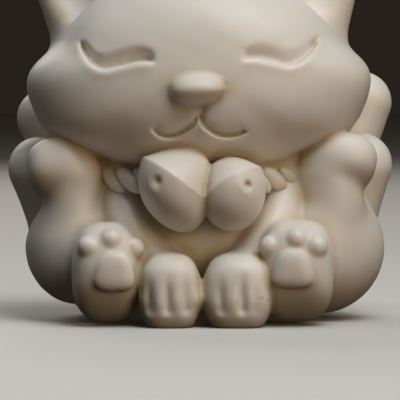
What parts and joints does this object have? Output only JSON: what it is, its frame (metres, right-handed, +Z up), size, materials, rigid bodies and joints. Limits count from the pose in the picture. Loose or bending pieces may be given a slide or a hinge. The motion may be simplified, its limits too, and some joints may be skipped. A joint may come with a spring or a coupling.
{
  "type": "fox carving",
  "caption": "Small sitting fox with many tails, carved in one piece from an ivory nut, with closed eyes, a rope collar with round bells, and its soles forward.",
  "frame": {"origin": "on the surface the fox sits on, under the centre of its bounding box", "axes": "+Z up, the fox looks along -Y, +X towards its own left ear"},
  "size_m": [0.042, 0.0352, 0.0453],
  "materials": {
    "ivory_nut": "satin, hand-polished ivory nut, cream-white and slightly translucent, warmer in the hollows"
  },
  "bodies": {
    "root": {"nine_tailed_fox": "ivory_nut"}
  },
  "joints": []
}
